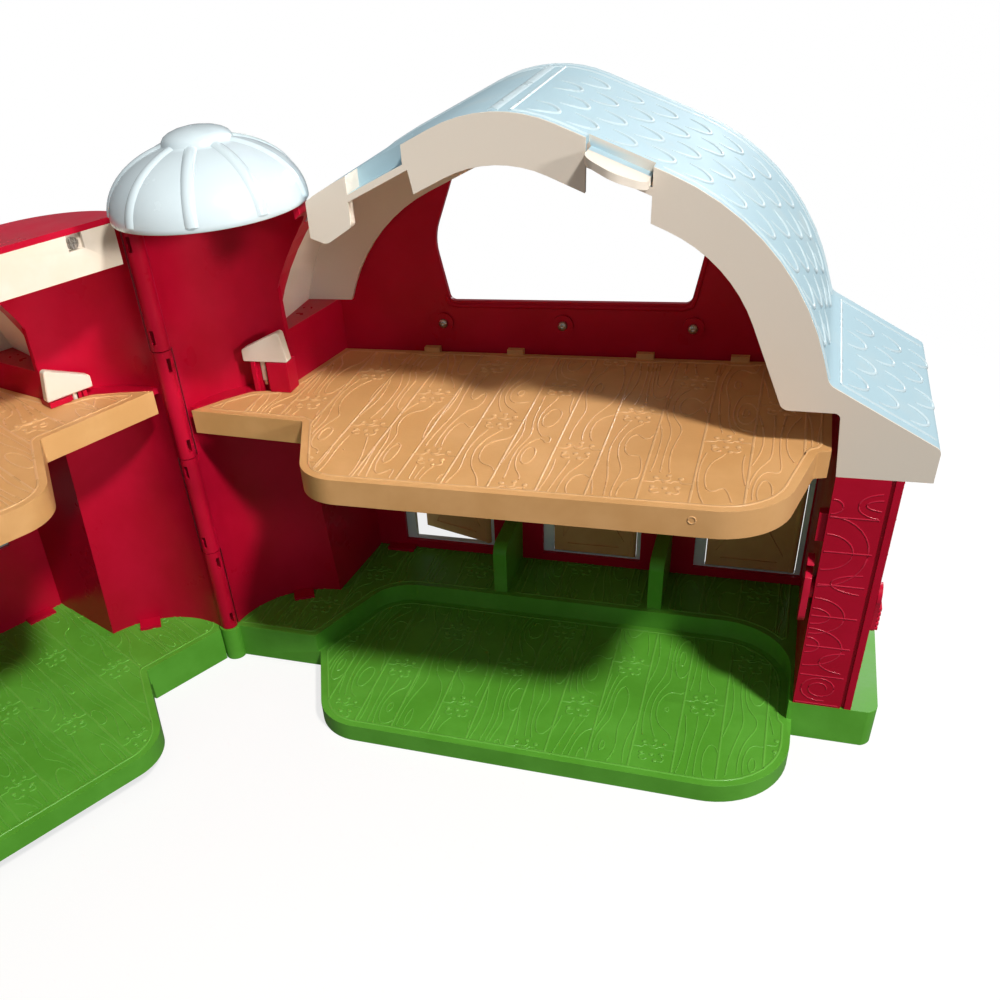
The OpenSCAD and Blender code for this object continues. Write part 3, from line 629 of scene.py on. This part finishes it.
# Nail heads, hooked scratches (place, radius, first and last angle) and the stepped line at a joint
NAIL_ROW = [(-5.6, 4.6), (0.2, 6.8), (5.8, 4.4), (-6.2, -4.4), (-0.4, -5.2), (5.2, -4.2), (2.0, -9.8)]
HOOKS = [(-4.6, -8.0, 2.3, 60.0, 330.0), (4.4, -8.4, 2.1, 190.0, 440.0), (-1.0, 3.6, 2.0, 200.0, 380.0)]
JOINT = [
    (-1.0, 0.0), (-0.52, 0.0), (-0.46, 1.8), (-0.2, 1.8), (-0.14, 0.0), (0.16, 0.0),
    (0.22, 1.6), (0.5, 1.6), (0.56, 0.0), (1.0, 0.0),
]


def hook(u, v, radius, start, end):
    steps = 6
    return [
        (u + radius * math.cos(math.radians(a)), v + radius * math.sin(math.radians(a)))
        for a in [start + (end - start) * i / steps for i in range(steps + 1)]
    ]


def grain_lines(middle, half, v0, v1, seed, spacing):
    """Contours of a wavy slope with knots in it, which look like sawn grain."""
    length = v1 - v0
    if length < 14.0:
        return []
    knots = []
    count = max(1, round(length / 46.0))
    for i in range(count):
        knots.append((
            (chance(seed, i, 1.0) - 0.5) * half * 1.3,
            v0 + length * (i + 0.3 + 0.4 * chance(seed, i, 2.0)) / count,
            1.3 + 1.5 * chance(seed, i, 3.0),
            half * (0.45 + 0.25 * chance(seed, i, 4.0)),
            15.0 + 12.0 * chance(seed, i, 5.0),
        ))
    us = np.linspace(-half, half, 13)
    vs = np.linspace(v0, v1, max(6, int(length / 2.6)))
    u, v = np.meshgrid(us, vs, indexing="ij")
    heights = u / spacing + 0.5 * np.sin(v / 19.0 + 6.0 * chance(seed, 9.0))
    for ku, kv, tall, wide, long in knots:
        heights += tall * np.exp(-((u - ku) / wide) ** 2 - ((v - kv) / long) ** 2)
    lines = []
    for level in np.arange(-3.5, 7.0, 1.0):
        lines += contour(us, vs, heights, level + 0.3 * chance(seed, 7.0))
    return [[(middle + a, b) for a, b in line] for line in lines if len(line) > 4]


def lay_planks(name, face, material, planks, rim=RIM, nails=True, spacing=8.0):
    """Rim line, seams, nailed joints and grain on a face, as raised beads."""
    pitch, shift = planks
    margin = rim or 1.2
    bold, fine, heads = [], [], []
    if rim:
        us = np.arange(face.low[0] - 1.0, face.high[0] + 4.0, 3.0)
        vs = np.arange(face.low[1] - 1.0, face.high[1] + 4.0, 3.0)
        u, v = np.meshgrid(us, vs, indexing="ij")
        rooms = face.room(np.stack([u.ravel(), v.ravel()], axis=1)).reshape(u.shape)
        bold += [line for line in contour(us, vs, rooms, rim) if len(line) > 5]
    first = math.floor((face.low[0] - shift) / pitch)
    last = math.ceil((face.high[0] - shift) / pitch)
    for k in range(first, last + 1):
        seam = shift + k * pitch
        steps = [(seam, v) for v in np.arange(face.low[1], face.high[1], 1.0)]
        bold += [[run[0], run[-1]] for run in face.clipped(steps, margin) if len(run) > 5]
        middle, half = seam + pitch / 2.0, pitch / 2.0
        joint = face.low[1] - PLANK_REACH + (k * 0.381) % 1.0 * PLANK_REACH
        while joint < face.high[1] + PLANK_REACH:
            if nails:
                fine += face.clipped([(middle + a * half, joint + b) for a, b in JOINT], margin)
                for u, v, radius, start, end in HOOKS:
                    fine += face.clipped(hook(middle + u, joint + v, radius, start, end), margin)
                row = [(middle + u, joint + v) for u, v in NAIL_ROW]
                heads += [p for p, room in zip(row, face.room(row)) if room > margin + 1.2]
            start, end = joint + (9.5 if nails else 0.5), joint + PLANK_REACH - (12.5 if nails else 0.5)
            probes = [(middle + a * half, v) for a in (-0.8, 0.0, 0.8) for v in np.linspace(start, end, 12)]
            if face.room(probes).max() > margin:
                seed = face.level + k * 3.7 + joint * 0.01
                for line in grain_lines(middle, half - 0.7, start, end, seed, spacing):
                    fine += [run for run in face.clipped(line, margin + 0.4) if len(run) > 3]
            joint += PLANK_REACH
    if bold:
        beads(name + "_seams", face.body, material, face.lines(bold), SEAM_WIDTH, RELIEF_HEIGHT)
    if fine:
        beads(name + "_grain", face.body, material, face.lines(fine), GRAIN_WIDTH, RELIEF_HEIGHT * 0.88)
    if heads:
        places = [face.at(u, v) for u, v in heads]
        studs(name + "_nails", face.body, material, places, face.basis(), NAIL_WIDTH, RELIEF_HEIGHT * 1.1)


# Sawn arches on the front of an end wall: open end, tip, middle height and half height, in mm
ARCHES = [
    (361.0, 381.5, 124.6, 20.5), (361.0, 374.5, 124.6, 10.5), (385.0, 367.0, 106.5, 6.0),
    (361.0, 377.0, 85.1, 11.5), (361.0, 370.0, 85.1, 5.0), (361.0, 379.0, 64.6, 12.5),
    (384.0, 369.0, 55.5, 7.0), (361.0, 367.5, 66.0, 5.0), (385.0, 372.5, 152.0, 7.0),
    (385.0, 376.0, 152.5, 3.0), (361.0, 366.0, 150.5, 4.0),
]


def lay_end_front(name, face, material):
    """Lying planks with sawn arches, on the narrow front of an end wall."""
    margin = 0.9
    pitch, shift = WALL_PLANKS
    seams = []
    for k in range(1, 8):
        steps = [(shift + k * pitch, v) for v in np.arange(face.low[1], face.high[1], 1.0)]
        seams += [[run[0], run[-1]] for run in face.clipped(steps, margin) if len(run) > 5]
    arches = []
    for open_end, tip, middle, half in ARCHES:
        turns = [math.radians(a) for a in range(-90, 91, 12)]
        line = [(middle + half * math.sin(a), open_end + (tip - open_end) * math.cos(a)) for a in turns]
        arches += [run for run in face.clipped(line, margin) if len(run) > 3]
    whorl = [
        (37.0 + (3.0 + i * 0.22) * math.sin(i * 0.42), 372.0 + (3.6 + i * 0.26) * math.cos(i * 0.42))
        for i in range(28)
    ]
    arches += [run for run in face.clipped(whorl, margin) if len(run) > 3]
    beads(name + "_seams", face.body, material, face.lines(seams), 0.9, 0.36)
    beads(name + "_arches", face.body, material, face.lines(arches), 0.8, 0.34)


# Roof tiles

class RoofSkin:
    """Outside of a roof, measured along its profile from the ridge; positive to the skirt."""

    def __init__(self, name):
        self.side = side_of(name)
        self.body = nodes[name]["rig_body"]
        mesh = nodes[name].data
        corners = [turned(self.side, v.co / MM) for v in mesh.vertices]
        tree = BVHTree.FromPolygons(corners, [tuple(p.vertices) for p in mesh.polygons])
        centre = Vector((RIDGE_X, 80.0, RIDGE_RING_Z))
        found = []
        for step in range(20, 1700):
            angle = math.radians(step * 0.1)
            inward = Vector((-math.cos(angle), 0.0, -math.sin(angle)))
            hit = tree.ray_cast(centre - inward * 400.0, inward, 400.0)[0]
            if hit is not None and hit.z > ROOF_FOOT_Z:
                found.append((hit.x, hit.z))
        self.line = np.array(found[::-1])
        steps = np.linalg.norm(np.diff(self.line, axis=0), axis=1)
        self.tree = tree
        self.run = np.concatenate([[0.0], np.cumsum(steps)])
        self.run -= self.run[np.argmax(self.line[:, 1])]

    def at(self, s, y):
        """Place on the outside and the direction out of it."""
        x, z = (np.interp(s, self.run, self.line[:, i]) for i in (0, 1))
        xa, za = (np.interp(s - 2.0, self.run, self.line[:, i]) for i in (0, 1))
        xb, zb = (np.interp(s + 2.0, self.run, self.line[:, i]) for i in (0, 1))
        out = turned(self.side, Vector((za - zb, 0.0, xb - xa)).normalized())
        return turned(self.side, (x, y, z)) * MM, out

    def covers(self, s, y):
        """Whether the skin is there, and not a notch or an edge."""
        place, out = self.at(s, y)
        start = turned(self.side, place / MM + out * 4.0)
        hit = self.tree.ray_cast(start, turned(self.side, -out), 5.0)
        return hit[0] is not None and abs(hit[3] - 4.0) < 0.5

    def stretches(self, line):
        """Parts of a line of s and y that lie on the skin."""
        kept, run = [], []
        for s, y in line:
            if self.covers(s, y) and self.covers(s, y - 1.5) and self.covers(s, y + 1.5):
                run.append(self.at(s, y))
            else:
                kept.append(run)
                run = []
        kept.append(run)
        return [r for r in kept if len(r) > 2]

    def end_of_slope(self, x):
        """Length along the profile at which it passes x."""
        return float(np.interp(x, self.line[:, 0], self.run))


# Rows of scallops: first row, stagger, pitch down the slope, first column, pitch along the roof,
# half width and drop, in mm; the rows start at the ridge, and at the corner above the skirt
SLOPE_ROWS = (14.0, 9.0, 18.5, 21.0, 26.0, 9.5, 13.0)
SKIRT_ROWS = (7.0, 5.0, 16.5, 23.0, 25.5, 9.0, 11.0)


def scallop_rows(top, bottom, rows):
    """Half ellipses in staggered rows, each a line of places down the slope and along the roof."""
    start, stagger, pitch, column_start, column_pitch, half, drop = rows
    turns = [math.radians(a) for a in range(-90, 91, 15)]
    scallops = []
    s = top + start
    while s < bottom:
        for column in range(4):
            row = s + (stagger if column % 2 else 0.0)
            y = column_start + column * column_pitch
            scallops.append([(row + drop * math.cos(a), y + half * math.sin(a)) for a in turns])
        s += pitch
    return scallops


def lay_tiles(name, roof, material):
    """Rows of raised scallops on the slopes, and raised trim and a ridge band round them."""
    corner = roof.end_of_slope(SKIRT_X)
    foot = roof.run[-1]
    head = roof.run[0]
    scallops = scallop_rows(0.0, corner - 23.0, SLOPE_ROWS) + scallop_rows(corner, foot - 22.0, SKIRT_ROWS)
    along = np.arange(head + 4.0, corner - 1.0, 5.0)
    across = np.arange(5.5, 121.5, 5.0)
    trims = [
        [(v, 121.0) for v in along],
        [(v, 128.5) for v in along],
        [(v, 5.5) for v in np.arange(9.0, corner - 2.0, 5.0)],
        [(8.0, v) for v in across],
        [(head + 8.0, v) for v in np.arange(8.0, 121.5, 5.0)],
    ]
    bands = [[(0.0, v) for v in across]]
    skirt = [
        (corner + 3.5, 9.0), (corner + 3.5, 124.0), (foot - 7.0, 124.0), (foot - 7.0, 9.0), (corner + 3.5, 9.0),
    ]
    for start, end in zip(skirt, skirt[1:]):
        steps = max(2, int(max(abs(end[0] - start[0]), abs(end[1] - start[1])) / 6.0))
        trims.append([
            (start[0] + (end[0] - start[0]) * i / steps, start[1] + (end[1] - start[1]) * i / steps)
            for i in range(steps + 1)
        ])
    for label, lines, width, height, swell in (
        ("_tiles", scallops, 1.9, 0.75, lambda t: max(0.35, 1.0 - abs(2.0 * t - 1.0) ** 6.0)),
        ("_trim", trims, 1.9, 0.6, None),
        ("_ridge", bands, 6.0, 1.0, None),
    ):
        placed = [run for line in lines for run in roof.stretches(line)]
        if swell:
            placed = [run for run in placed if len(run) == 13]
        beads(name + label, roof.body, material, placed, width, height, swell, 2)


# Small fittings

# Section of a screw: radius and height over the seat, in mm
SCREW_SECTION = [
    (0.0, 0.9), (0.9, 1.3), (1.1, 1.9), (2.2, 1.5), (2.7, 0.9), (2.8, 0.2), (2.8, -1.6), (1.4, -1.6),
    (1.4, -3.4), (0.0, -3.4),
]


def make_screws(side, material):
    """Round screw heads of the gable with a hollow in the middle, in place of the plain ones."""
    name = "gable_screws_" + side
    low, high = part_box(name)
    level = (low[2] + high[2]) / 2.0 / MM
    turn = turned(side, (0.0, -1.0, 0.0)).to_track_quat("Z", "Y").to_matrix().to_4x4()
    bm = bmesh.new()
    for x in SCREW_ALONG:
        chain = [bm.verts.new((r, 0.0, h)) for r, h in SCREW_SECTION]
        edges = [bm.edges.new(pair) for pair in zip(chain, chain[1:])]
        bmesh.ops.spin(
            bm, geom=chain + edges, cent=(0.0, 0.0, 0.0), axis=(0.0, 0.0, 1.0),
            angle=2.0 * math.pi, steps=20, use_merge=True,
        )
        seat = Matrix.Translation(turned(side, (x, SCREW_SEAT, level)) * MM)
        made = [v for v in bm.verts if not v.tag]
        bmesh.ops.transform(bm, verts=made, matrix=seat @ turn @ Matrix.Scale(MM, 4))
        for v in made:
            v.tag = True
    bmesh.ops.remove_doubles(bm, verts=bm.verts, dist=0.00001)
    bmesh.ops.recalc_face_normals(bm, faces=bm.faces)
    piece = new_piece(name + "_heads", bm, nodes[name]["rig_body"], material, 35.0)
    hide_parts(name)


def ring_marks(name, body, material, rings, width_mm, height_mm):
    """Round marks of the mould: centre, radius and direction out, in the frame of a half."""
    lines = []
    for side, centre, radius, out in rings:
        normal = turned(side, out)
        turn = normal.to_track_quat("Z", "Y").to_matrix()
        middle = turned(side, centre)
        around = [math.radians(a) for a in range(0, 361, 15)]
        line = [middle + turn @ Vector((radius * math.cos(a), radius * math.sin(a), 0.0)) for a in around]
        lines.append([(place * MM, normal) for place in line])
    beads(name, body, material, lines, width_mm, height_mm)


def window_rim(side, material):
    """Raised rim under and beside the arched window, on the inside of the gable."""
    face = Face("gable_" + side, 0, 2, GABLE_INSIDE, -1.0)
    lines = []
    for (u0, v0), (u1, v1) in face.edges:
        start, end = min(u0, u1), max(u0, u1)
        if v0 != v1 or end - start < 100.0 or v0 < face.low[1] + 18.0:
            continue
        left = [(start - 10.0, v0 + 27.0), (start - 5.6, v0 + 3.0), (start - 4.0, v0 - 1.4), (start, v0 - 2.8)]
        right = [(end, v0 - 2.8), (end + 4.0, v0 - 1.4), (end + 5.6, v0 + 3.0), (end + 10.0, v0 + 27.0)]
        lines += face.clipped(left + right, 0.8)
    if lines:
        beads("window_rim_" + side, face.body, material, face.lines(lines), 3.0, 1.2, None, 2)


# Dome of the silo

# Button on the dome: radius and height over its seat, in mm
DOME_BUTTON = [(17.6, 0.6), (17.2, 2.0), (16.0, 3.6), (13.6, 5.0), (10.0, 6.2), (5.0, 7.1), (0.0, 7.4)]
DOME_RIBS = 9

# Angle of the first rib round the dome, in degrees
FIRST_RIB = 9.3


def dome_outside(angle):
    """Radius and height of the outside of the dome at an angle over its rim."""
    return DOME_RADIUS * math.cos(angle), DOME_Z + 0.6 + (DOME_RISE - 0.6) * math.sin(angle)


def make_dome(material):
    """Turned shell with its button, in place of the plain one, and rounded ribs on it."""
    top = math.acos(18.0 / DOME_RADIUS)
    outside = [dome_outside(top * i / 22) for i in range(23)]
    button = [(r, min(outside[-1][1] + rise, DOME_TOP_Z)) for r, rise in DOME_BUTTON]
    inside = [
        ((DOME_RADIUS - DOME_WALL) * math.cos(a), DOME_Z + (DOME_RISE - DOME_WALL) * math.sin(a))
        for a in [math.pi / 2.0 * (1.0 - i / 14) for i in range(15)]
    ]
    profile = [(DOME_RADIUS - 0.5, DOME_Z)] + outside + button + inside
    bm = bmesh.new()
    ring = [bm.verts.new(Vector((r, 0.0, z)) * MM) for r, z in profile]
    edges = [bm.edges.new(pair) for pair in zip(ring, ring[1:] + ring[:1])]
    bmesh.ops.spin(
        bm, geom=ring + edges, cent=(0.0, 0.0, 0.0), axis=(0.0, 0.0, 1.0), angle=2.0 * math.pi,
        steps=96, use_merge=True,
    )
    bmesh.ops.remove_doubles(bm, verts=bm.verts, dist=0.00002)
    bmesh.ops.dissolve_degenerate(bm, edges=bm.edges, dist=0.00001)
    bmesh.ops.translate(bm, verts=bm.verts, vec=Vector((DOME_X, 0.0, 0.0)) * MM)
    bmesh.ops.recalc_face_normals(bm, faces=bm.faces)
    shell = new_piece("silo_dome_shell", bm, "right_half", material, 50.0)
    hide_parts("silo_dome")
    ribs = []
    start, end = math.radians(3.0), top + 0.02
    for i in range(DOME_RIBS):
        turn = math.radians(i * 360.0 / DOME_RIBS + FIRST_RIB)
        rib = []
        for j in range(19):
            a = start + (end - start) * j / 18
            level = math.cos(a)
            out = Vector((level * math.cos(turn), level * math.sin(turn), math.sin(a) * 1.2)).normalized()
            r, z = dome_outside(a)
            rib.append((Vector((DOME_X + r * math.cos(turn), r * math.sin(turn), z)) * MM, out))
        ribs.append(rib)
    beads("silo_dome_ribs", "right_half", material, ribs, 6.4, 1.15, None, 5)


# Light and floor

# Strength of the even light of the room
ROOM_LEVEL = 0.25

# Grey of the floor in the light, the glow that makes it white for the camera, and the distances in
# metres between which the shadow fades out
PAPER_GREY = 0.28
PAPER_GLOW = 0.76
SHADOW_FADE = (0.45, 0.75)


def area_light(name, place, aim, size, power, color, spread=180.0):
    data = bpy.data.lights.new(name, "AREA")
    data.shape = "DISK"
    data.size = size
    data.energy = power
    data.color = color
    data.spread = math.radians(spread)
    lamp = bpy.data.objects.new(name, data)
    lamp.location = place
    lamp.rotation_euler = (Vector(aim) - Vector(place)).to_track_quat("-Z", "Y").to_euler()
    bpy.context.collection.objects.link(lamp)


def make_light():
    world = bpy.data.worlds.new("studio")
    bpy.context.scene.world = world
    world.use_nodes = True
    tree = world.node_tree
    tree.nodes.clear()
    path = tree.nodes.new("ShaderNodeLightPath")
    seen = tree.nodes.new("ShaderNodeMath")
    seen.operation = "MAXIMUM"
    tree.links.new(path.outputs["Is Camera Ray"], seen.inputs[0])
    tree.links.new(path.outputs["Is Transmission Ray"], seen.inputs[1])
    room = tree.nodes.new("ShaderNodeBackground")
    room.inputs["Color"].default_value = (0.93, 0.96, 1.0, 1.0)
    room.inputs["Strength"].default_value = ROOM_LEVEL
    white = tree.nodes.new("ShaderNodeBackground")
    white.inputs["Color"].default_value = (1.0, 1.0, 1.0, 1.0)
    white.inputs["Strength"].default_value = 1.0
    both = tree.nodes.new("ShaderNodeMixShader")
    tree.links.new(seen.outputs[0], both.inputs[0])
    tree.links.new(room.outputs[0], both.inputs[1])
    tree.links.new(white.outputs[0], both.inputs[2])
    out = tree.nodes.new("ShaderNodeOutputWorld")
    tree.links.new(both.outputs[0], out.inputs[0])
    area_light("key", (1.36, -0.86, 1.98), (0.18, 0.0, 0.1), 0.26, 50.0, (1.0, 0.96, 0.91))
    area_light("side", (1.38, -0.62, 0.6), (-0.03, -0.03, 0.27), 0.2, 0.14, (1.0, 0.96, 0.92), 16.0)
    area_light("back", (0.55, 1.3, 0.75), (0.3, 0.1, 0.1), 0.3, 6.0, (0.9, 0.95, 1.0))


def make_floor():
    """Pale paper that keeps the shadow near the toy and is plain white further off."""
    bm = bmesh.new()
    bmesh.ops.create_grid(bm, x_segments=1, y_segments=1, size=4.0)
    mesh = bpy.data.meshes.new("floor")
    bm.to_mesh(mesh)
    bm.free()
    floor = bpy.data.objects.new("floor", mesh)
    floor.location.z = -0.0002
    bpy.context.collection.objects.link(floor)
    f = Finish("floor_paper")
    seen = f.node("ShaderNodeLightPath", output="Is Camera Ray")
    where = f.node("ShaderNodeTexCoord", output="Object")
    x, y = [f.node("ShaderNodeSeparateXYZ", None, {0: where}, i) for i in range(2)]
    far = ((x - 0.1) * (x - 0.1) + y * y).root().fade(*SHADOW_FADE)
    paper = f.node("ShaderNodeBsdfDiffuse", None, {"Color": (*[PAPER_GREY] * 3, 1.0)})
    glow = f.node("ShaderNodeEmission", None, {"Color": (1.0, 1.0, 1.0, 1.0), "Strength": seen * PAPER_GLOW})
    near = f.node("ShaderNodeAddShader", None, {0: paper, 1: glow})
    white = f.node("ShaderNodeEmission", None, {"Color": (1.0, 1.0, 1.0, 1.0), "Strength": 1.0})
    both = f.node("ShaderNodeMixShader", None, {0: far * seen, 1: near, 2: white})
    f.node("ShaderNodeOutputMaterial", None, {"Surface": both})
    mesh.materials.append(f.material)


# Relief on every moulding that has it

def lay_relief(finishes):
    for side in ("right", "left"):
        # The relief beads take the lighter copies of the plastics, which carry a painted highlight
        green, tan, red = (finishes[k + "_edge_" + side] for k in ("green", "tan", "red"))
        base, loft, end, gable = (k + side for k in ("base_", "loft_floor_", "end_wall_", "gable_"))
        wall = "back_wall_right" if side == "right" else "front_wall_left"
        lay_planks(base + "_ledge", Face(base, 0, 1, BASE_TOP, 1.0, LEDGE_SPAN), green, TRAY_PLANKS)
        if side == "right":
            lay_planks(base + "_tray", Face(base, 0, 1, TRAY_TOP, 1.0), green, TRAY_PLANKS)
        lay_planks(loft, Face(loft, 0, 1, LOFT_TOP[side], 1.0), tan, LOFT_PLANKS)
        lay_end_front(end + "_front", Face(end, 2, 0, MATING_FACE, -1.0), red)
        for name, along, level in ((end, 1, END_OUTSIDE), (wall, 0, OUTER_WALL), (gable, 0, GABLE_OUTSIDE)):
            lay_planks(
                name + "_outside", Face(name, 2, along, level, 1.0), red, WALL_PLANKS,
                rim=0.0, nails=False, spacing=10.0,
            )
        lay_tiles("roof_" + side, RoofSkin("roof_" + side), finishes["roof_edge_" + side])


make_camera()
make_light()
make_floor()
finishes = make_finishes()
finish_frame(finishes)
for name, width in SOFT_EDGES.items():
    softened(name, width)
lay_relief(finishes)
make_dome(finishes["dome"])
for side in ("right", "left"):
    make_screws(side, finishes["steel"])
    window_rim(side, finishes["red_" + side])
# Mould rings in the lighter tan of the painted highlight
ring_marks("loft_marks_right", "right_half", finishes["tan_edge_right"], [
    ("right", (300.2, -66.0, 175.0), 1.7, (0.0, -1.0, 0.0)),
    ("right", (60.5, 4.6, 171.5), 1.7, (0.0, -1.0, 0.0)),
], 0.8, 0.35)

bpy.context.scene.view_settings.view_transform = "Standard"
